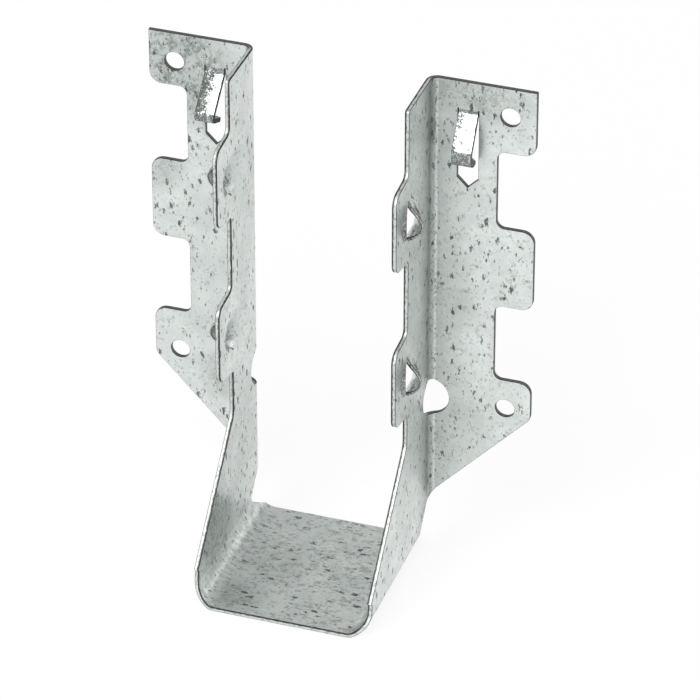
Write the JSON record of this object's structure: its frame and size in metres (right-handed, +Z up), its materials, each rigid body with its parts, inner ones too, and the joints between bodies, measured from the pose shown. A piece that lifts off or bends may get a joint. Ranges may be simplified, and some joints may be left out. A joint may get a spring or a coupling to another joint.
{
  "type": "joist hanger",
  "caption": "Face-mount joist hanger folded from galvanised sheet steel, with nailing flanges, side plates with lanced nailing domes, locating prongs and a joist seat.",
  "frame": {"origin": "middle of the footprint on the seat's underside, halfway between the header face and the seat's front edge", "axes": "+Z up along the side plates, +Y towards the header that the flanges are nailed to, +X to the right seen from the joist"},
  "size_m": [0.0892, 0.0444, 0.1206],
  "materials": {
    "galvanised_steel": "zinc-coated sheet with a fine dark fleck, bright sheared edges"
  },
  "bodies": {
    "root": {"hanger": "galvanised_steel"}
  },
  "joints": []
}
